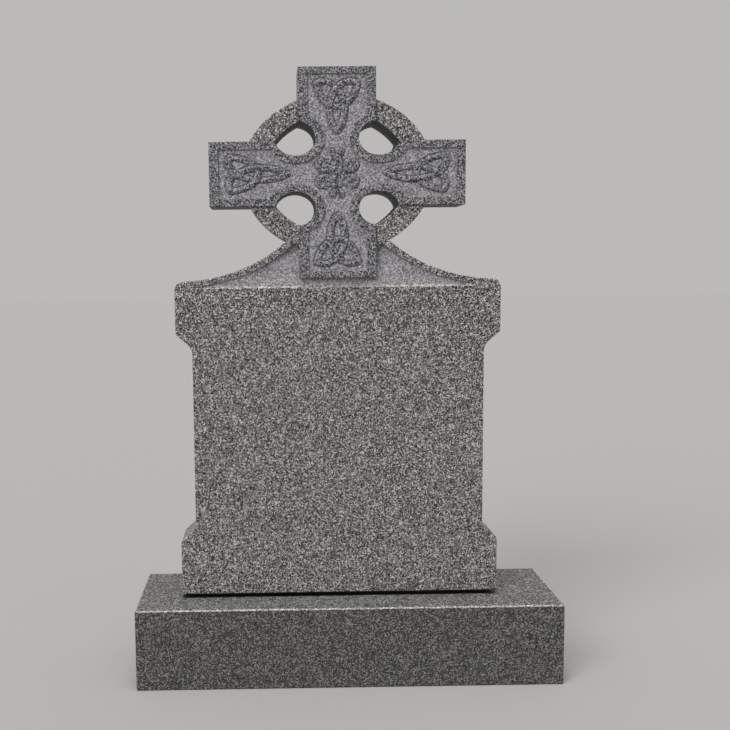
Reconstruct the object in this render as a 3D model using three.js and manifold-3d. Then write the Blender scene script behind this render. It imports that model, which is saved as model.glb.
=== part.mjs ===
// Ringed Celtic cross headstone of grey granite, standing on a rectangular base.
// Millimetres, +Z up. The origin is the middle of the base's underside and the front faces -Y.

import * as THREE from 'three';
import { mergeVertices } from 'three/addons/utils/BufferGeometryUtils.js';
import Module from 'manifold-3d';

// Base block
const baseWidth = 914;
const baseDepth = 305;
const baseHeight = 175;
const baseArris = 3;

// Headstone slab. It stands a little left of the middle of the base.
const stoneOffset = -16.5;
const stoneThickness = 127;
const bedGap = 0.3;
const bedZ = baseHeight + bedGap;
const backY = stoneThickness / 2;
const crossFrontY = -stoneThickness / 2;
const ringSetBack = 7;
const dieFrontY = crossFrontY + ringSetBack;
const dieThickness = stoneThickness - ringSetBack;
const ringBackY = backY - 5;

// Recess under the edge of the die, which leaves a dark open joint on the base
const rebateHeight = 9.5;
const rebateDepth = 20;

// Half widths of the die and the heights where it steps in and out
const footHalf = 345.5;
const shaftHalf = 313;
const shoulderHalf = 348;
const footTopZ = 300.5;
const shaftLowZ = 331;
const shaftHighZ = 723.5;
const shoulderLowZ = 753;
const shoulderTopZ = 865;
const outerRound = 9;
const lowerFillet = 21;
const upperFillet = 28;
const shoulderRound = 18;

// The cross is drawn with four equal arms and then made wider than it is high.
const crossWidening = 1.215;
const crossZ = 1088;
const armLength = 218;
const armLengthSide = 221.8;
const armHalf = 67;
const ringOuter = 166;
const ringInner = 126;
const scoopOffset = 72.5;
const scoopRadius = 35;

// Raised rim and sunk field on the arms
const rimSide = 16;
const rimEnd = 14;
const fieldDepth = 5;
const reliefHeight = 4;

// Concave sweep from the shoulder up to the ring, with a raised rim under it.
// The rim's inner side leans back by the draft for each millimetre of depth.
const sweepRadius = 260;
const sweepCentreX = 281;
const sweepCentreZ = shoulderTopZ + sweepRadius;
const sweepTopX = 66;
const sweepRim = 12;
const rimDraft = 0.27;

// Weathered panel behind the foot of the cross: it slopes back from a chamfered sill
const sillZ = 850;
const sillChamfer = 4;
const panelHalf = 290;
const panelTopZ = 1000;
const panelSlope = 0.1;

// Interlaced knot on each arm
const knotStrand = 12;
const knotHalfWidth = 35.5;
const knotStretch = 1.6;
const knotSweep = 160;
const knotMiddle = 152;

// Twisted stem and its four volutes in the middle of the cross
const stemHalfHeight = 46;
const stemSwing = 8;
const voluteX = 22.5;
const voluteZ = 19;
const voluteRadius = 14;
const strokeWidth = 6.5;

const wasm = await Module();
wasm.setup();

// Turns a closed three.js geometry into a solid that can be joined and cut.
function toSolid(geometry) {
  const plain = geometry.clone();
  plain.deleteAttribute('normal');
  plain.deleteAttribute('uv');
  const merged = mergeVertices(plain, 1e-4);
  return new wasm.Manifold(new wasm.Mesh({
    numProp: 3,
    vertProperties: new Float32Array(merged.attributes.position.array),
    triVerts: new Uint32Array(merged.index.array),
  }));
}

// Turns a solid back into a three.js geometry.
function toGeometry(solid) {
  const mesh = solid.getMesh();
  const geometry = new THREE.BufferGeometry();
  geometry.setAttribute('position', new THREE.BufferAttribute(mesh.vertProperties, 3));
  geometry.setIndex(new THREE.BufferAttribute(mesh.triVerts, 1));
  geometry.computeVertexNormals();
  return geometry;
}

// Points on an arc of an ellipse, from one angle to another in degrees.
function arc(centreX, centreZ, radiusX, radiusZ, from, to, steps) {
  const points = [];
  for (let i = 0; i <= steps; i += 1) {
    const angle = THREE.MathUtils.degToRad(from + ((to - from) * i) / steps);
    points.push(new THREE.Vector2(
      centreX + radiusX * Math.cos(angle),
      centreZ + radiusZ * Math.sin(angle),
    ));
  }
  return points;
}

// A slab with its outline in the upright XZ plane, between two Y planes.
function slab(points, frontY, rearY) {
  const geometry = new THREE.ExtrudeGeometry(new THREE.Shape(points), {
    depth: rearY - frontY,
    bevelEnabled: false,
  });
  geometry.rotateX(Math.PI / 2);
  geometry.translate(0, rearY, 0);
  return toSolid(geometry);
}

// A slab drawn in the cross's own square measure, then widened and put at its place.
function crossSlab(points, frontY, rearY) {
  const placed = points.map((p) => new THREE.Vector2(p.x * crossWidening, crossZ + p.y));
  return slab(placed, frontY, rearY);
}

function block(width, depth, height, x, y, z) {
  const geometry = new THREE.BoxGeometry(width, depth, height);
  geometry.translate(x, y, z + height / 2);
  return toSolid(geometry);
}

function joined(solids) {
  return solids.reduce((whole, solid) => whole.add(solid));
}

// Four copies of a place, one for each corner between the arms.
function corners(make) {
  const solids = [];
  for (const sideX of [-1, 1]) {
    for (const sideZ of [-1, 1]) {
      solids.push(make(sideX * scoopOffset, sideZ * scoopOffset));
    }
  }
  return joined(solids);
}

// Corner of an outline, rounded off with a radius.
function roundedCorner(before, corner, after, radius, steps) {
  const toBefore = before.clone().sub(corner).normalize();
  const toAfter = after.clone().sub(corner).normalize();
  const half = toBefore.angleTo(toAfter) / 2;
  const reach = radius / Math.tan(half);
  const centre = corner.clone().add(
    toBefore.clone().add(toAfter).normalize().multiplyScalar(radius / Math.sin(half)),
  );
  const start = corner.clone().addScaledVector(toBefore, reach).sub(centre);
  const turn = Math.sign(toAfter.cross(toBefore)) * (Math.PI - 2 * half);
  const points = [];
  for (let i = 0; i <= steps; i += 1) {
    points.push(start.clone().rotateAround(new THREE.Vector2(), (turn * i) / steps).add(centre));
  }
  return points;
}

// Height of the shoulder's concave sweep in the square measure.
function sweepHeight(x) {
  return sweepCentreZ - Math.sqrt(sweepRadius * sweepRadius - (sweepCentreX - x) ** 2);
}

// Right half of the die from the base up to the shaft of the cross.
function dieHalfOutline() {
  const corner = (x, z) => new THREE.Vector2(x, z);
  const path = [
    [corner(footHalf, bedZ), 0],
    [corner(footHalf, footTopZ), outerRound],
    [corner(shaftHalf, shaftLowZ), lowerFillet],
    [corner(shaftHalf, shaftHighZ), upperFillet],
    [corner(shoulderHalf, shoulderLowZ), outerRound],
    [corner(shoulderHalf, shoulderTopZ), shoulderRound],
    [corner(sweepCentreX * crossWidening - shoulderRound, shoulderTopZ), 0],
  ];
  const points = [path[0][0]];
  for (let i = 1; i < path.length - 1; i += 1) {
    points.push(...roundedCorner(path[i - 1][0], path[i][0], path[i + 1][0], path[i][1], 5));
  }
  const steps = 24;
  for (let i = 1; i <= steps; i += 1) {
    const x = sweepCentreX - shoulderRound + ((sweepTopX - sweepCentreX + shoulderRound) * i) / steps;
    points.push(corner(x * crossWidening, sweepHeight(x)));
  }
  return points;
}

function mirrored(points) {
  const left = points.map((p) => new THREE.Vector2(-p.x, p.y)).reverse();
  return [...points, ...left];
}

// The wedge that sinks the panel, less the two round sweeps with their rims.
function panelCutter() {
  const proud = 20;
  const sillY = dieFrontY + sillChamfer;
  const profile = new THREE.Shape([
    new THREE.Vector2(dieFrontY - proud, sillZ - proud),
    new THREE.Vector2(sillY, sillZ + sillChamfer),
    new THREE.Vector2(sillY + (panelTopZ - sillZ - sillChamfer) * panelSlope, panelTopZ),
    new THREE.Vector2(dieFrontY - proud, panelTopZ),
  ]);
  const wedge = new THREE.ExtrudeGeometry(profile, { depth: 2 * panelHalf, bevelEnabled: false });
  wedge.applyMatrix4(new THREE.Matrix4().makeBasis(
    new THREE.Vector3(0, 1, 0),
    new THREE.Vector3(0, 0, 1),
    new THREE.Vector3(1, 0, 0),
  ));
  wedge.translate(-panelHalf, 0, 0);
  let cutter = toSolid(wedge);
  const rimRadius = sweepRadius + sweepRim;
  const frontReach = 50;
  const backReach = 80;
  for (const side of [-1, 1]) {
    const sweep = new THREE.CylinderGeometry(
      rimRadius + backReach * rimDraft,
      rimRadius - frontReach * rimDraft,
      frontReach + backReach,
      160,
    );
    sweep.scale(crossWidening, 1, 1);
    sweep.translate(
      side * sweepCentreX * crossWidening,
      dieFrontY + (backReach - frontReach) / 2,
      sweepCentreZ,
    );
    cutter = cutter.subtract(toSolid(sweep));
  }
  return cutter;
}

// A four-armed outline with the given half width and arm lengths.
function plusOutline(half, lengthSide, lengthUp) {
  const quarter = [
    [lengthSide, -half], [lengthSide, half], [half, half],
    [half, lengthUp], [-half, lengthUp], [-half, half],
  ];
  const points = quarter.map(([x, z]) => new THREE.Vector2(x, z));
  return [...points, ...points.map((p) => new THREE.Vector2(-p.x, -p.y))];
}

// The four arms, scooped out at the corners and sunk inside a raised rim.
function crossArms() {
  const opening = crossSlab(arc(0, 0, ringInner, ringInner, 0, 354, 59), crossFrontY - 1, backY + 1);
  const scoops = corners((x, z) => crossSlab(
    arc(x, z, scoopRadius, scoopRadius, 0, 350, 35),
    crossFrontY - 1,
    backY + 1,
  ));
  const rims = corners((x, z) => crossSlab(
    arc(x, z, scoopRadius + rimSide, scoopRadius + rimSide, 0, 350, 35),
    crossFrontY - 2,
    dieFrontY,
  ));
  const field = crossSlab(
    plusOutline(armHalf - rimSide, armLengthSide - rimSide, armLength - rimEnd),
    crossFrontY - 1,
    crossFrontY + fieldDepth,
  );
  return crossSlab(plusOutline(armHalf, armLengthSide, armLength), crossFrontY, backY)
    .subtract(scoops.intersect(opening))
    .subtract(field.subtract(rims));
}

// A flat raised shape on the sunk field.
function raised(points) {
  const sunk = 0.5;
  const floorY = crossFrontY + fieldDepth;
  return slab(points, floorY - reliefHeight, floorY + sunk);
}

// A raised band of constant width along a centre line in the XZ plane.
function raisedBand(line, width) {
  const left = [];
  const right = [];
  line.forEach((point, i) => {
    const before = line[Math.max(i - 1, 0)];
    const after = line[Math.min(i + 1, line.length - 1)];
    const side = after.clone().sub(before).normalize().multiplyScalar(width / 2);
    left.push(new THREE.Vector2(point.x - side.y, point.y + side.x));
    right.push(new THREE.Vector2(point.x + side.y, point.y - side.x));
  });
  return raised([...left, ...right.reverse()]);
}

// Three arcs laced into a three-pointed knot, drawn out along the arm. Its points are rounded.
function armKnot(turn) {
  const halfSweep = THREE.MathUtils.degToRad(knotSweep / 2);
  const tips = [270, 30, 150].map((degrees) => {
    const angle = THREE.MathUtils.degToRad(degrees);
    return new THREE.Vector2(Math.cos(angle), Math.sin(angle)).multiplyScalar(
      (2 * knotHalfWidth) / Math.sqrt(3),
    );
  });
  const bands = tips.map((tip, i) => {
    const next = tips[(i + 1) % 3];
    const middle = tip.clone().add(next).multiplyScalar(0.5);
    const outward = middle.clone().normalize();
    const centre = middle.clone().addScaledVector(outward, knotHalfWidth / Math.tan(halfSweep));
    const line = [];
    const steps = 18;
    for (let k = 0; k <= steps; k += 1) {
      const local = tip.clone().rotateAround(centre, (-2 * halfSweep * k) / steps);
      local.y = local.y * knotStretch + knotMiddle;
      local.rotateAround(new THREE.Vector2(), turn);
      line.push(new THREE.Vector2(local.x * crossWidening, crossZ + local.y));
    }
    const end = arc(line[0].x, line[0].y, knotStrand / 2, knotStrand / 2, 7, 337, 11);
    return raisedBand(line, knotStrand).add(raised(end));
  });
  return joined(bands);
}

// Two strands twisted into an upright stem, with four volutes curling away from its middle.
function middleScroll() {
  const placed = (x, z) => new THREE.Vector2(x * crossWidening, crossZ + z);
  const steps = 24;
  const bands = [];
  for (const sideX of [-1, 1]) {
    const strand = [];
    for (let i = 0; i <= steps; i += 1) {
      const part = i / steps;
      const swing = stemSwing * Math.cos(3 * Math.PI * part);
      strand.push(placed(sideX * swing, stemHalfHeight * (2 * part - 1)));
    }
    bands.push(raisedBand(strand, strokeWidth));
    for (const sideZ of [-1, 1]) {
      const volute = [];
      for (let i = 0; i <= steps; i += 1) {
        const part = i / steps;
        const angle = Math.PI * (1.25 + 2.2 * part);
        const radius = voluteRadius * (1 - 0.72 * part);
        volute.push(placed(
          sideX * (voluteX + radius * Math.cos(angle)),
          sideZ * (voluteZ + radius * Math.sin(angle)),
        ));
      }
      bands.push(raisedBand(volute, strokeWidth));
    }
  }
  return joined(bands);
}

// The die, the ring, the arms and their carving are one stone.
function headstoneSolid() {
  const die = slab(mirrored(dieHalfOutline()), dieFrontY, backY);
  const ringFull = crossSlab(arc(0, 0, ringOuter, ringOuter, 0, 355, 71), dieFrontY, ringBackY);
  const ringHole = crossSlab(arc(0, 0, ringInner, ringInner, 0, 354, 59), dieFrontY - 1, backY + 1);
  const body = die.add(ringFull.subtract(ringHole)).subtract(panelCutter());
  const reach = 2 * (footHalf - rebateDepth);
  const edge = block(2 * shoulderHalf, 2 * stoneThickness, rebateHeight, 0, 0, bedZ - bedGap);
  const bearingDepth = dieThickness - 2 * rebateDepth;
  const bearing = block(reach, bearingDepth, rebateHeight, 0, ringSetBack / 2, bedZ - bedGap);
  const knots = [0, 1, 2, 3].map((quarter) => armKnot((quarter * Math.PI) / 2));
  return joined([body, crossArms(), ...knots, middleScroll()]).subtract(edge.subtract(bearing));
}

// A block with a small chamfer along every edge.
function baseGeometry() {
  const x = baseWidth / 2 - baseArris;
  const y = baseDepth / 2 - baseArris;
  const outline = new THREE.Shape([
    new THREE.Vector2(-x, -y),
    new THREE.Vector2(x, -y),
    new THREE.Vector2(x, y),
    new THREE.Vector2(-x, y),
  ]);
  const geometry = new THREE.ExtrudeGeometry(outline, {
    depth: baseHeight - 2 * baseArris,
    bevelEnabled: true,
    bevelSegments: 1,
    bevelSize: baseArris,
    bevelThickness: baseArris,
  });
  geometry.translate(0, 0, baseArris);
  return toGeometry(toSolid(geometry));
}

const polishedGranite = new THREE.MeshStandardMaterial({
  color: '#727070',
  roughness: 0.4,
  metalness: 0,
});
const honedGranite = new THREE.MeshStandardMaterial({
  color: '#5f5f5d',
  roughness: 0.55,
  metalness: 0,
});

const base = new THREE.Mesh(baseGeometry(), honedGranite);
base.name = 'base';

const headstone = new THREE.Mesh(toGeometry(headstoneSolid()), polishedGranite);
headstone.name = 'headstone';
headstone.position.x = stoneOffset;

const memorial = new THREE.Group();
memorial.add(base, headstone);

export default memorial;
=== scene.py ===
# A ringed Celtic cross headstone of grey granite on its base, as looks for the solid model.
# Metres, +Z up, the front faces -Y. Sizes below are written in millimetres and turned by MM.

import math

import bmesh
import bpy
from mathutils import Matrix, Vector


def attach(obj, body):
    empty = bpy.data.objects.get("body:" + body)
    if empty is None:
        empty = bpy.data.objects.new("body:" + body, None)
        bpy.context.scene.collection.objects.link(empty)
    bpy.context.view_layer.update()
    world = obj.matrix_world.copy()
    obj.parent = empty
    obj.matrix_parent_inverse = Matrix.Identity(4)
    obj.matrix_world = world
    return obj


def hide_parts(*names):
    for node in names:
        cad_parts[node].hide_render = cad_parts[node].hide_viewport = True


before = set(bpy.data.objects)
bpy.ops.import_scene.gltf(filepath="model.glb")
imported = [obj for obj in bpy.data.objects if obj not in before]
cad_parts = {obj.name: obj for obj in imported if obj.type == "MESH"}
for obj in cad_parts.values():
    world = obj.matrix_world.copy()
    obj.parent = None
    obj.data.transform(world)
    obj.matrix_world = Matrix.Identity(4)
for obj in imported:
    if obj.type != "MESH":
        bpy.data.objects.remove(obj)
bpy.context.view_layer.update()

MM = 0.001

# Where the stones stand. The headstone is a little left of the middle of its base.
STONE_X = -16.5
CROSS_FRONT = -63.5
DIE_FRONT = -56.5
BACK = 63.5
RING_BACK = 58.5
BED_Z = 175.3

# The cross is carved with four nearly equal arms, then widened by this much. Its sizes, and
# those of the sweeps across, are given before the widening.
WIDENING = 1.215
CROSS_Z = 1088
ARM_HALF = 67
ARM_UP = 218
ARM_SIDE = 221.8
RING_OUTER = 166
RING_INNER = 126
SCOOP_AT = 72.5
SCOOP_RADIUS = 35
RIM = 16
RIM_END = 14
FIELD_Y = CROSS_FRONT + 5

# Half widths and heights of the die
FOOT_HALF = 345.5
SHAFT_HALF = 313
SHOULDER_HALF = 348
FOOT_TOP = 300.5
SHAFT_LOW = 331
SHAFT_HIGH = 723.5
SHOULDER_LOW = 753
SHOULDER_TOP = 865
SWEEP_X = 281
SWEEP_RADIUS = 260
SWEEP_Z = SHOULDER_TOP + SWEEP_RADIUS
SWEEP_END = 66
SWEEP_RIM = 12
SHOULDER_FLAT = 20
RIM_DRAFT = 0.27
SILL_Z = 850
SILL_CHAMFER = 4
PANEL_HALF = 290
PANEL_TOP = 1000
PANEL_SLOPE = 0.1
REBATE_HEIGHT = 9.5
REBATE_DEPTH = 20

BASE_WIDTH = 914
BASE_DEPTH = 305
BASE_HEIGHT = 175

# Rounding of the arrises
BODY_ARRIS = 2.5
ARM_ARRIS = 2
RIM_ARRIS = 1.6
BASE_ARRIS = 3

# A cutting tool reaches this far past the stone
CLEAR = 30


# Small helpers for working by hand


def deselect():
    if bpy.context.object is not None and bpy.context.object.mode != "OBJECT":
        bpy.ops.object.mode_set(mode="OBJECT")
    bpy.ops.object.select_all(action="DESELECT")


def pick(stone):
    deselect()
    stone.select_set(True)
    bpy.context.view_layer.objects.active = stone


def settle(stone):
    """Puts the object's place, turn and size into its mesh."""
    pick(stone)
    bpy.ops.object.transform_apply(location=True, rotation=True, scale=True)


def block(name, low, high):
    """A block between two corners in millimetres."""
    deselect()
    middle = [(a + b) / 2 * MM for a, b in zip(low, high)]
    bpy.ops.mesh.primitive_cube_add(size=1, location=middle)
    stone = bpy.context.object
    stone.name = name
    stone.scale = [(b - a) * MM for a, b in zip(low, high)]
    settle(stone)
    return stone


def drum(name, x, z, radius, front, back, radius_back=None, sides=96):
    """A round drum lying along Y, or a cone if its back radius differs."""
    deselect()
    bpy.ops.mesh.primitive_cone_add(
        vertices=sides,
        radius1=radius * MM,
        radius2=(radius if radius_back is None else radius_back) * MM,
        depth=(back - front) * MM,
        location=(x * MM, (front + back) / 2 * MM, z * MM),
        rotation=(-math.pi / 2, 0, 0),
    )
    stone = bpy.context.object
    stone.name = name
    settle(stone)
    return stone


def dress(stone, finish):
    """Gives the whole stone one finish."""
    stone.data.materials.clear()
    stone.data.materials.append(finish)
    return stone


def dress_faces(stone, finish, wanted):
    """Gives a finish to the faces for which wanted(middle in millimetres, normal) holds."""
    if finish.name not in stone.data.materials:
        stone.data.materials.append(finish)
    stone.active_material_index = stone.data.materials.find(finish.name)
    pick(stone)
    bpy.ops.object.mode_set(mode="EDIT")
    bpy.ops.mesh.select_mode(type="FACE")
    bpy.ops.mesh.select_all(action="DESELECT")
    shape = bmesh.from_edit_mesh(stone.data)
    for face in shape.faces:
        face.select_set(wanted(face.calc_center_median() / MM, face.normal))
    bmesh.update_edit_mesh(stone.data)
    bpy.ops.object.material_slot_assign()
    bpy.ops.object.mode_set(mode="OBJECT")


def carve(stone, tool, how="DIFFERENCE"):
    """Cuts the tool out of the stone, or joins it on. The new faces keep the tool's finish."""
    if not tool.data.materials:
        dress(tool, HONED)
    pick(stone)
    modifier = stone.modifiers.new(how.lower(), "BOOLEAN")
    modifier.operation = how
    modifier.solver = "MANIFOLD"
    modifier.material_mode = "TRANSFER"
    modifier.object = tool
    bpy.ops.object.modifier_apply(modifier=modifier.name)
    bpy.data.objects.remove(tool)


def select_edges(stone, wanted):
    """Goes into edit mode with just those edges selected for which wanted(edge) holds."""
    pick(stone)
    bpy.ops.object.mode_set(mode="EDIT")
    bpy.ops.mesh.select_mode(type="EDGE")
    bpy.ops.mesh.select_all(action="DESELECT")
    shape = bmesh.from_edit_mesh(stone.data)
    for edge in shape.edges:
        if wanted(edge):
            edge.select_set(True)
    bmesh.update_edit_mesh(stone.data)


def both_ends(edge, test):
    return all(test(v.co / MM) for v in edge.verts)


def lies_at(edge, y):
    return both_ends(edge, lambda p: abs(p.y - y) < 0.01)


def is_sharp(edge, degrees=30):
    return len(edge.link_faces) == 2 and edge.calc_face_angle() > math.radians(degrees)


def round_edges(stone, wanted, radius, segments=3):
    select_edges(stone, wanted)
    bpy.ops.mesh.bevel(offset=radius * MM, segments=segments, affect="EDGES", clamp_overlap=True)
    bpy.ops.object.mode_set(mode="OBJECT")


def merge_flat(stone):
    """Merges doubled points and makes each flat face whole again."""
    pick(stone)
    bpy.ops.object.mode_set(mode="EDIT")
    bpy.ops.mesh.select_all(action="SELECT")
    bpy.ops.mesh.remove_doubles(threshold=0.00002)
    bpy.ops.mesh.dissolve_limited(angle_limit=math.radians(0.5), delimit={"NORMAL", "MATERIAL"})
    bpy.ops.object.mode_set(mode="OBJECT")


def bisect_at(x=None, y=None, z=None):
    """In edit mode, cuts every face that crosses the plane at x, y or z millimetres."""
    place = [0 if at is None else at * MM for at in (x, y, z)]
    direction = [0 if at is None else 1 for at in (x, y, z)]
    bpy.ops.mesh.select_all(action="SELECT")
    bpy.ops.mesh.bisect(plane_co=place, plane_no=direction)


def smooth(stone):
    """Shades rounded arrises softly and keeps the flat faces flat."""
    pick(stone)
    bpy.ops.object.shade_smooth_by_angle(angle=math.radians(38))
    modifier = stone.modifiers.new("flat_faces", "WEIGHTED_NORMAL")
    modifier.keep_sharp = True
    modifier.weight = 100
    bpy.ops.object.modifier_apply(modifier=modifier.name)


def four_corners():
    return [(side_x, side_z) for side_x in (-1, 1) for side_z in (-1, 1)]


# Finishes


def linear(hex_colour):
    """A colour from its sRGB hex value."""
    parts = [int(hex_colour[i : i + 2], 16) / 255 for i in (1, 3, 5)]
    return (*[c / 12.92 if c <= 0.04045 else ((c + 0.055) / 1.055) ** 2.4 for c in parts], 1)


def add(tree, kind, settings=None, links=None):
    """Adds a node, sets its settings and sockets, and links sockets to other nodes' outputs."""
    node = tree.nodes.new(kind)
    for name, value in (settings or {}).items():
        if name in node.inputs:
            node.inputs[name].default_value = value
        else:
            setattr(node, name, value)
    for name, source in (links or {}).items():
        tree.links.new(source, node.inputs[name])
    return node


# Width of a grain and spacing of the mica specks in millimetres, as in a fine-grained granite.
# A speck's radius is a share of that spacing.
GRAIN = 2.2
MICA_GAP = 4.4
MICA_SIZE = 0.38

# A grain's random tone from 0 to 1 tells its kind. Tones near the middle come most often, so
# about a fifth of the grains are quartz, half are grey feldspar and the rest are pale.
FELDSPAR_FROM = 0.3
PALE_FROM = 0.65


def granite(name, quartz, feldspar, pale_feldspar, mica, roughness, pitting):
    """Fine grey granite: packed grains about 2 mm across, strewn with darker specks of mica."""
    material = bpy.data.materials.new(name)
    material.use_nodes = True
    tree = material.node_tree
    shader = tree.nodes["Principled BSDF"]
    place = add(tree, "ShaderNodeTexCoord").outputs["Object"]

    # Noise about 3 mm across moves the borders of the grains by half a millimetre or so
    wander = add(tree, "ShaderNodeTexNoise", {"Scale": 350, "Detail": 2}, {"Vector": place})
    bent = add(
        tree,
        "ShaderNodeMix",
        {"data_type": "RGBA", "blend_type": "LINEAR_LIGHT", "Factor": 0.0016},
        {"A": place, "B": wander.outputs["Color"]},
    ).outputs["Result"]
    grains = add(tree, "ShaderNodeTexVoronoi", {"Scale": 1 / (GRAIN * MM)}, {"Vector": bent})
    tones = add(tree, "ShaderNodeValToRGB", links={"Fac": grains.outputs["Color"]})
    tones.color_ramp.interpolation = "CONSTANT"
    tones.color_ramp.elements.new(0.5)
    for element, share, colour in zip(
        tones.color_ramp.elements, (0, FELDSPAR_FROM, PALE_FROM), (quartz, feldspar, pale_feldspar)
    ):
        element.position = share
        element.color = linear(colour)

    # Specks of uneven size, the largest four times as wide as the smallest
    specks = add(tree, "ShaderNodeTexVoronoi", {"Scale": 1 / (MICA_GAP * MM)}, {"Vector": bent})
    reach = add(
        tree,
        "ShaderNodeMapRange",
        {"To Min": MICA_SIZE * 0.4, "To Max": MICA_SIZE * 1.6},
        {"Value": specks.outputs["Color"]},
    )
    inside = add(
        tree,
        "ShaderNodeMath",
        {"operation": "LESS_THAN"},
        {0: specks.outputs["Distance"], 1: reach.outputs["Result"]},
    )
    colour = add(
        tree,
        "ShaderNodeMix",
        {"data_type": "RGBA"},
        {"Factor": inside.outputs["Value"], "A": tones.outputs["Color"]},
    )
    colour.inputs["B"].default_value = linear(mica)

    # Pits about 1 mm across and up to 0.4 mm deep
    pits = add(tree, "ShaderNodeTexNoise", {"Scale": 900, "Detail": 3}, {"Vector": place})
    surface = add(
        tree,
        "ShaderNodeBump",
        {"Strength": pitting, "Distance": 0.0004},
        {"Height": pits.outputs["Fac"]},
    )
    tree.links.new(colour.outputs["Result"], shader.inputs["Base Color"])
    tree.links.new(surface.outputs["Normal"], shader.inputs["Normal"])
    shader.inputs["Roughness"].default_value = roughness
    shader.inputs["IOR"].default_value = 1.54
    return material


# Granite rubbed smooth with fine grit: matt, with its grains in full contrast
HONED = granite("honed_granite", "#232323", "#6b6969", "#bfbcbb", "#050505", 0.45, 0.15)

# Carved ridges rubbed by hand: darker than the blasted ground, with softer grains than a honed face
RUBBED = granite("rubbed_granite", "#414043", "#706e71", "#a3a1a8", "#161516", 0.6, 0.3)

# Painted shade: the walls of the ring's openings and the arms' undersides are darkened where shade
# falls in them
PAINTED_SHADE = granite("painted_shade_granite", "#202020", "#494847", "#787674", "#0a0a0a", 0.7, 0.4)

# Granite blasted with sand: paler, with its grains dulled and a fine tooth
FROSTED = granite("frosted_granite", "#767477", "#929094", "#b3b1b6", "#646266", 0.75, 0.6)

# Painted highlight: pale grains on the upward-facing arrises, where the light from above catches
# them
PAINTED_HIGHLIGHT = granite("painted_highlight_granite", "#7d7b79", "#a3a09d", "#cac7c3", "#5b5a58", 0.6, 0.4)

# The base is honed like the headstone, out of a darker block
BASE_HONED = granite("dark_honed_granite", "#181817", "#464544", "#7f7e7a", "#050505", 0.45, 0.15)

# The base's top, painted paler as light falling on it from above
PAINTED_LIT_TOP = granite("painted_lit_top_granite", "#1e1e1d", "#5d5c5a", "#a5a49f", "#050505", 0.65, 0.3)

# Painted shade for the bed joint: its grains are nearly black, as deep shade under the headstone
PAINTED_JOINT_SHADE = granite("painted_joint_shade_granite", "#0c0c0c", "#171717", "#262625", "#030303", 0.5, 0.3)


# The cross before it is widened, measured from its middle


def plus_block(name, half, side, up, front, back):
    stone = block(name, (-side, front, -half), (side, back, half))
    carve(stone, block(name + "_upright", (-half, front, -up), (half, back, up)), "UNION")
    return stone


def make_arms():
    arms = dress(plus_block("arms", ARM_HALF, ARM_SIDE, ARM_UP, CROSS_FRONT, BACK), HONED)
    for side_x, side_z in four_corners():
        scoop = drum(
            "scoop",
            side_x * SCOOP_AT,
            side_z * SCOOP_AT,
            SCOOP_RADIUS,
            CROSS_FRONT - CLEAR,
            BACK + CLEAR,
        )
        # The scoops' walls, inside the ring's openings, get painted shade
        carve(arms, dress(scoop, PAINTED_SHADE))
    merge_flat(arms)
    for y in (CROSS_FRONT, BACK):
        round_edges(arms, lambda edge: lies_at(edge, y) and is_sharp(edge), ARM_ARRIS)

    # The front with its arrises, then the undersides, which get painted shade
    dress_faces(arms, RUBBED, lambda middle, normal: middle.y < CROSS_FRONT + 3 and normal.y < -0.1)
    dress_faces(arms, PAINTED_SHADE, lambda middle, normal: normal.z < -0.9)
    return arms


def make_field():
    field = plus_block(
        "field", ARM_HALF - RIM, ARM_SIDE - RIM, ARM_UP - RIM_END, CROSS_FRONT - CLEAR, FIELD_Y
    )
    for side_x, side_z in four_corners():
        rim = drum(
            "rim",
            side_x * SCOOP_AT,
            side_z * SCOOP_AT,
            SCOOP_RADIUS + RIM,
            CROSS_FRONT - 2 * CLEAR,
            BACK + CLEAR,
            sides=128,
        )
        carve(field, rim)
    merge_flat(field)
    return dress(field, FROSTED)


def make_ring():
    """The ring is a slab section with rounded arrises, spun round the cross's middle."""
    deselect()
    middle = (RING_OUTER + RING_INNER) / 2
    bpy.ops.mesh.primitive_plane_add(
        size=1, location=(middle * MM, (DIE_FRONT + RING_BACK) / 2 * MM, 0)
    )
    ring = bpy.context.object
    ring.name = "ring"
    ring.scale = ((RING_OUTER - RING_INNER) * MM, (RING_BACK - DIE_FRONT) * MM, 1)
    settle(ring)
    bpy.ops.object.mode_set(mode="EDIT")
    bpy.ops.mesh.select_all(action="SELECT")
    bpy.ops.mesh.bevel(offset=BODY_ARRIS * MM, segments=3, affect="VERTICES")
    bpy.ops.mesh.select_all(action="SELECT")
    bpy.ops.mesh.delete(type="ONLY_FACE")
    bpy.ops.mesh.select_all(action="SELECT")
    bpy.ops.mesh.spin(steps=180, angle=2 * math.pi, center=(0, 0, 0), axis=(0, 1, 0))
    bpy.ops.mesh.select_all(action="SELECT")
    bpy.ops.mesh.remove_doubles(threshold=0.00002)
    bpy.ops.mesh.normals_make_consistent(inside=False)
    bpy.ops.object.mode_set(mode="OBJECT")
    dress(ring, HONED)

    # The wall that looks towards the ring's middle gets painted shade
    dress_faces(
        ring,
        PAINTED_SHADE,
        lambda middle, normal: middle.x * normal.x + middle.z * normal.z < -0.9 * RING_INNER,
    )
    return ring


# Carved strands


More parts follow.
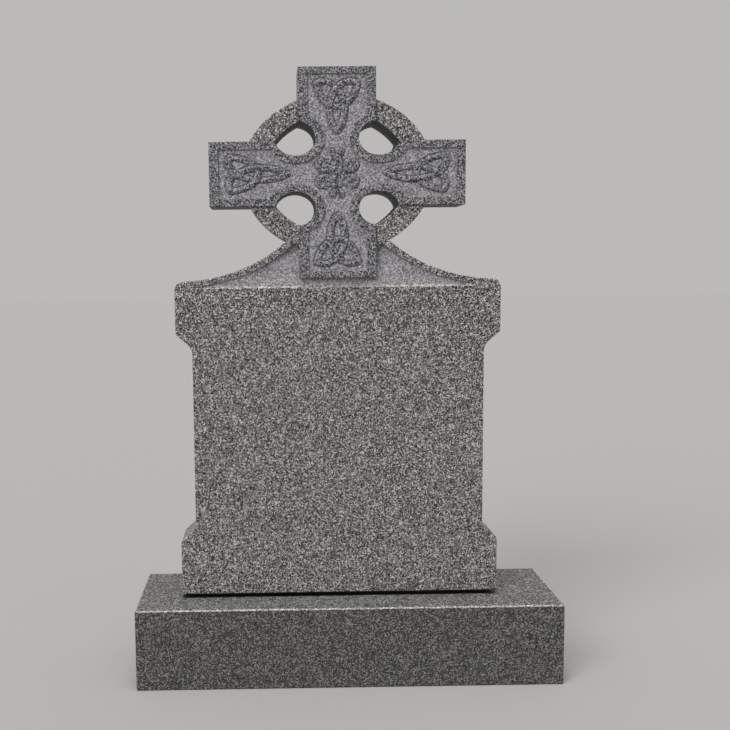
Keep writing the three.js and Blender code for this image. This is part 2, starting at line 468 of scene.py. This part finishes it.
def strand(name, points, radius, flatness=1.0):
    """A solid strand along points (x, y, z in millimetres), with rounded ends.

    Flatness squeezes it along Y, about the floor of the field.
    """
    deselect()
    spots = [Vector(place) for place in points]
    sizes = [1] * len(spots)
    start = (spots[0] - spots[1]).normalized() * radius
    end = (spots[-1] - spots[-2]).normalized() * radius

    # Each end closes over a few shrinking rings
    for degrees in (25, 50, 70, 86):
        out, size = math.sin(math.radians(degrees)), math.cos(math.radians(degrees))
        spots.insert(0, Vector(points[0]) + start * out)
        spots.append(Vector(points[-1]) + end * out)
        sizes.insert(0, size)
        sizes.append(size)
    line = bpy.data.curves.new(name, "CURVE")
    line.dimensions = "3D"
    line.bevel_depth = radius * MM
    line.bevel_resolution = 4
    line.use_fill_caps = True
    spline = line.splines.new("POLY")
    spline.points.add(len(spots) - 1)
    for point, spot, size in zip(spline.points, spots, sizes):
        point.co = (*(spot * MM), 1)
        point.radius = size
    stone = bpy.data.objects.new(name, line)
    bpy.context.scene.collection.objects.link(stone)
    pick(stone)
    bpy.ops.object.convert(target="MESH")
    bpy.ops.object.mode_set(mode="EDIT")
    bpy.ops.mesh.select_all(action="SELECT")
    bpy.ops.mesh.remove_doubles(threshold=0.00002)
    bpy.ops.mesh.normals_make_consistent(inside=False)
    bpy.ops.object.mode_set(mode="OBJECT")
    stone.scale.y = flatness
    stone.location.y = FIELD_Y * MM * (1 - flatness)
    settle(stone)
    return stone


STRAND_RADIUS = 6
STRAND_FLATNESS = 0.6
LACING = 2.2
KNOT_HALF = 35.5
KNOT_STRETCH = 1.6
KNOT_AT = 152
KNOT_SWEEP = 160
KNOT_TRENCH = 12
TRENCH_DEPTH = 4.2

# Degrees along an arc from its end to the crossing, and over which it rises or dips there
CROSSING_AT = 60
CROSSING_SPREAD = 16


def quarter_turn(u, v, quarter):
    """Turns a point of the upper arm onto another arm."""
    for _ in range(quarter):
        u, v = v, -u
    return u, v


def knot_lines(quarter):
    """Three arcs from tip to tip, each over one neighbour and under the next."""
    lines = []
    reach = 2 * KNOT_HALF / math.sqrt(3)
    half_sweep = math.radians(KNOT_SWEEP / 2)
    tips = [
        Vector((math.cos(math.radians(a)), math.sin(math.radians(a)))) * reach
        for a in (270, 30, 150)
    ]
    for i in range(3):
        tip, following = tips[i], tips[(i + 1) % 3]
        middle = (tip + following) / 2
        along = (tip - following).normalized()
        inward = -middle.normalized()
        centre = middle - inward * KNOT_HALF / math.tan(half_sweep)
        line = []
        for degrees in range(0, KNOT_SWEEP + 1, 4):
            angle = half_sweep - math.radians(degrees)
            spot = centre + (math.cos(angle) * inward + math.sin(angle) * along) * (
                KNOT_HALF / math.sin(half_sweep)
            )
            over = math.exp(-(((degrees - KNOT_SWEEP + CROSSING_AT) / CROSSING_SPREAD) ** 2))
            under = math.exp(-(((degrees - CROSSING_AT) / CROSSING_SPREAD) ** 2))
            lift = LACING * (over - under)
            u, v = quarter_turn(spot.x, spot.y * KNOT_STRETCH + KNOT_AT, quarter)
            line.append((u, FIELD_Y - lift, v))
        lines.append(line)
    return lines


STEM_HALF = 46
STEM_SWING = 8
VOLUTE_X = 22.5
VOLUTE_Z = 19
VOLUTE_RADIUS = 14
VOLUTE_TURNS = 1.1
VOLUTE_CLOSING = 0.64
SCROLL_RADIUS = 5.2
SCROLL_TRENCH = 9
SCROLL_STEPS = 40

# A volute's trench stops before the eye, where it would run into itself
TRENCHED_STEPS = 18


def scroll_lines():
    """Two strands twisted into an upright stem, with four volutes curling away from its middle."""
    stems, volutes = [], []
    for side in (-1, 1):
        stem = []
        for step in range(SCROLL_STEPS + 1):
            part = step / SCROLL_STEPS
            swing = STEM_SWING * math.cos(3 * math.pi * part)
            lift = side * LACING * math.sin(3 * math.pi * part)
            stem.append((side * swing, FIELD_Y - lift, STEM_HALF * (2 * part - 1)))
        stems.append(stem)
    for side_x, side_z in four_corners():
        volute = []
        for step in range(SCROLL_STEPS + 1):
            part = step / SCROLL_STEPS
            angle = 2 * math.pi * (0.625 + VOLUTE_TURNS * part)
            radius = VOLUTE_RADIUS * (1 - VOLUTE_CLOSING * part)
            across = VOLUTE_X + radius * math.cos(angle)
            above = VOLUTE_Z + radius * math.sin(angle)
            volute.append((side_x * across, FIELD_Y, side_z * above))
        volutes.append(volute)
    return stems, volutes


def cut_trench(stone, line, radius):
    """Cuts a round-bottomed trench along a strand's line, so that the strand stands free."""
    y = FIELD_Y + TRENCH_DEPTH - radius
    carve(stone, dress(strand("trench", [(x, y, z) for x, _, z in line], radius), FROSTED))


def lay_strand(stone, line):
    carve(stone, dress(line, RUBBED), "UNION")


def lay_strands(stone):
    """Cuts a shallow trench along every strand, then lays the rounded strands in.

    The front is first cut into small faces, so that no face has a hole in it.
    """
    pick(stone)
    bpy.ops.object.mode_set(mode="EDIT")
    reach, cell = 210, 20
    for at in range(-reach, reach + 1, cell):
        bisect_at(x=at)
        bisect_at(z=at)
    bpy.ops.object.mode_set(mode="OBJECT")
    knots = [line for quarter in range(4) for line in knot_lines(quarter)]
    stems, volutes = scroll_lines()
    for line in knots:
        cut_trench(stone, line, KNOT_TRENCH)
    for line in stems + [line[: TRENCHED_STEPS + 1] for line in volutes]:
        cut_trench(stone, line, SCROLL_TRENCH)
    for line in knots:
        lay_strand(stone, strand("knot", line, STRAND_RADIUS, STRAND_FLATNESS))
    for line in stems:
        lay_strand(stone, strand("stem", line, SCROLL_RADIUS, STRAND_FLATNESS))
    for line in volutes:
        lay_strand(stone, strand("volute", line, SCROLL_RADIUS, STRAND_FLATNESS))


# The die


def sweep_height(x):
    """Top of the concave sweep at x millimetres from the headstone's middle."""
    across = SWEEP_X - abs(x) / WIDENING
    return SWEEP_Z - math.sqrt(SWEEP_RADIUS**2 - across**2)


def move_points(stone, change):
    """Moves points of the mesh in edit mode: change(point in millimetres) gives the new one."""
    shape = bmesh.from_edit_mesh(stone.data)
    for vert in shape.verts:
        vert.co = Vector(change(vert.co / MM)) * MM
    bmesh.update_edit_mesh(stone.data)


def make_die():
    die = block("die", (-SHOULDER_HALF, DIE_FRONT, BED_Z), (SHOULDER_HALF, BACK, SHOULDER_TOP))
    columns = 26
    inner = SWEEP_END * WIDENING
    outer = SHOULDER_HALF - SHOULDER_FLAT

    def sweep(p):
        if p.z < SHOULDER_TOP - 0.01 or abs(p.x) > outer + 1:
            return tuple(p)
        return p.x, p.y, sweep_height(p.x)

    def waist(p):
        half = abs(p.x)
        if half > outer + 1:
            if p.z < FOOT_TOP + 1:
                half = FOOT_HALF
            elif p.z < SHAFT_HIGH + 1:
                half = SHAFT_HALF
        return math.copysign(half, p.x), p.y, p.z

    pick(die)
    bpy.ops.object.mode_set(mode="EDIT")
    for i in range(columns + 1):
        x = inner + (outer - inner) * i / columns
        bisect_at(x=x)
        bisect_at(x=-x)
    move_points(die, sweep)
    merge_flat(die)
    bpy.ops.object.mode_set(mode="EDIT")
    for z in (FOOT_TOP, SHAFT_LOW, SHAFT_HIGH, SHOULDER_LOW):
        bisect_at(z=z)
    move_points(die, waist)
    merge_flat(die)

    # Height of each corner of the outline, and how far its rounding reaches from it
    for z, reach in (
        (FOOT_TOP, 4.5),
        (SHAFT_LOW, 9),
        (SHAFT_HIGH, 13),
        (SHOULDER_LOW, 3.5),
        (SHOULDER_TOP, 18),
    ):
        round_edges(
            die,
            lambda edge: both_ends(edge, lambda p: abs(p.z - z) < 0.1 and abs(p.x) > SHAFT_HALF - 1)
            and abs(edge.verts[0].co.y - edge.verts[1].co.y) > 0.1,
            reach,
            6,
        )
    for y in (DIE_FRONT, BACK):
        round_edges(die, lambda edge: lies_at(edge, y) and is_sharp(edge), BODY_ARRIS)
    return die


def make_panel_tool():
    """The wedge that sinks the sloping panel behind the foot of the cross."""
    front, back = DIE_FRONT - CLEAR, DIE_FRONT + SILL_CHAMFER
    wedge = block("wedge", (-PANEL_HALF, front, SILL_Z), (PANEL_HALF, back, PANEL_TOP))

    def slope(p):
        if p.z > SILL_Z + 1:
            if p.y > front + 1:
                return p.x, back + PANEL_SLOPE * (PANEL_TOP - SILL_Z - SILL_CHAMFER), p.z
            return tuple(p)
        if p.y > front + 1:
            return p.x, p.y, SILL_Z + SILL_CHAMFER
        return p.x, p.y, SILL_Z - (DIE_FRONT - front)

    pick(wedge)
    bpy.ops.object.mode_set(mode="EDIT")
    move_points(wedge, slope)
    bpy.ops.object.mode_set(mode="OBJECT")
    rim = SWEEP_RADIUS + SWEEP_RIM
    reach_front, reach_back = 50, 80
    for side in (-1, 1):
        sweep = drum(
            "sweep",
            0,
            SWEEP_Z,
            rim - reach_front * RIM_DRAFT,
            DIE_FRONT - reach_front,
            DIE_FRONT + reach_back,
            rim + reach_back * RIM_DRAFT,
            sides=256,
        )
        sweep.scale.x = WIDENING
        sweep.location.x = side * SWEEP_X * WIDENING * MM
        settle(sweep)
        carve(wedge, sweep)
    dress(wedge, FROSTED)

    # The sill's chamfer is the wedge's underside; it gets a painted highlight
    dress_faces(wedge, PAINTED_HIGHLIGHT, lambda middle, normal: normal.z < -0.5)
    return wedge


def make_headstone():
    cross = make_arms()
    carve(cross, make_field())
    merge_flat(cross)
    round_edges(cross, lambda edge: lies_at(edge, CROSS_FRONT) and is_sharp(edge), RIM_ARRIS, 2)
    lay_strands(cross)
    carve(cross, make_ring(), "UNION")
    cross.scale.x = WIDENING
    cross.location.z = CROSS_Z * MM
    settle(cross)

    stone = dress(make_die(), HONED)
    carve(stone, make_panel_tool())
    carve(stone, cross, "UNION")
    edge_band = block(
        "edge_band",
        (-FOOT_HALF - CLEAR, DIE_FRONT - CLEAR, BED_Z - CLEAR),
        (FOOT_HALF + CLEAR, BACK + CLEAR, BASE_HEIGHT + REBATE_HEIGHT),
    )
    bearing = block(
        "bearing",
        (REBATE_DEPTH - FOOT_HALF, DIE_FRONT + REBATE_DEPTH, BED_Z - 2 * CLEAR),
        (FOOT_HALF - REBATE_DEPTH, BACK - REBATE_DEPTH, BED_Z + CLEAR),
    )
    carve(edge_band, bearing)
    # The rebate's faces under the headstone's foot get painted shade, nearly black
    carve(stone, dress(edge_band, PAINTED_JOINT_SHADE))
    stone.location.x = STONE_X * MM
    settle(stone)
    stone.name = "carved_headstone"
    smooth(stone)
    return stone


def make_base():
    """The base is a plain block. Its top is painted nearly black, as shade, where the headstone
    stands on it.
    """
    half_x, half_y = BASE_WIDTH / 2, BASE_DEPTH / 2
    base = block("base_stone", (-half_x, -half_y, 0), (half_x, half_y, BASE_HEIGHT))
    dress(base, BASE_HONED)
    round_edges(base, lambda edge: True, BASE_ARRIS)
    # The top is painted paler, as lit from above
    dress_faces(base, PAINTED_LIT_TOP, lambda middle, normal: normal.z > 0.98)
    # The rounded top arrises of the base get a painted highlight
    dress_faces(base, PAINTED_HIGHLIGHT, lambda middle, normal: 0.2 < normal.z < 0.98)
    pick(base)
    bpy.ops.object.mode_set(mode="EDIT")
    left, right = STONE_X - FOOT_HALF, STONE_X + FOOT_HALF
    for x in (left, right):
        bisect_at(x=x)
    for y in (DIE_FRONT, BACK):
        bisect_at(y=y)
    bpy.ops.object.mode_set(mode="OBJECT")
    # The top under the headstone gets the same painted shade
    dress_faces(
        base,
        PAINTED_JOINT_SHADE,
        lambda middle, normal: normal.z > 0.99
        and left < middle.x < right
        and DIE_FRONT < middle.y < BACK,
    )
    smooth(base)
    return base


headstone = make_headstone()
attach(headstone, "root")
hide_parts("headstone")

base = make_base()
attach(base, "root")
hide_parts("base")


# Camera, floor and light


def aim(thing, target):
    thing.rotation_euler = (Vector(target) - thing.location).to_track_quat("-Z", "Y").to_euler()


def place_camera():
    """The photograph's viewing angle: a little left of the middle and below the cross."""

    # Radians, counted to the right, upwards and anticlockwise
    yaw, pitch, roll = 0.0115, -0.1271, -0.0117
    deselect()
    bpy.ops.object.camera_add(location=(-0.1609, -2.541, 0.895))
    camera = bpy.context.object
    forward = Vector(
        (math.sin(yaw) * math.cos(pitch), math.cos(yaw) * math.cos(pitch), math.sin(pitch))
    )
    level = Vector((math.cos(yaw), -math.sin(yaw), 0))
    upright = level.cross(forward)
    right = math.cos(roll) * level + math.sin(roll) * upright
    up = -math.sin(roll) * level + math.cos(roll) * upright
    camera.rotation_euler = Matrix((right, up, -forward)).transposed().to_euler()
    camera.data.sensor_width = 36
    camera.data.lens = 57.27

    # The frame is moved by so many of the photograph's pixels
    frame_width, right_pixels, up_pixels = 730, 80, 50
    camera.data.shift_x = right_pixels / frame_width
    camera.data.shift_y = up_pixels / frame_width
    bpy.context.scene.camera = camera


def sunlight(name, source, strength, softness):
    """Even soft light from the direction of source, softness degrees across."""
    deselect()
    bpy.ops.object.light_add(type="SUN", location=source)
    light = bpy.context.object
    light.name = name
    light.data.energy = strength
    light.data.angle = math.radians(softness)
    aim(light, (0, 0, 0))


place_camera()
deselect()
bpy.ops.mesh.primitive_plane_add(size=40, location=(0, 10, 0))
floor = bpy.context.object
floor.name = "floor"
paper = bpy.data.materials.new("pale_floor")
paper.use_nodes = True
paper.node_tree.nodes["Principled BSDF"].inputs["Base Color"].default_value = linear("#a3a2a1")
paper.node_tree.nodes["Principled BSDF"].inputs["Roughness"].default_value = 0.9
floor.data.materials.append(paper)

sunlight("key", (-4.8, -6.9, 5.5), 1.6, 30)
sunlight("overhead", (0, -1.5, 8), 1.6, 30)
sky = bpy.data.worlds.new("studio")
sky.use_nodes = True
sky.node_tree.nodes["Background"].inputs["Color"].default_value = linear("#bbbab8")
sky.node_tree.nodes["Background"].inputs["Strength"].default_value = 1
bpy.context.scene.world = sky
bpy.context.scene.view_settings.view_transform = "Standard"
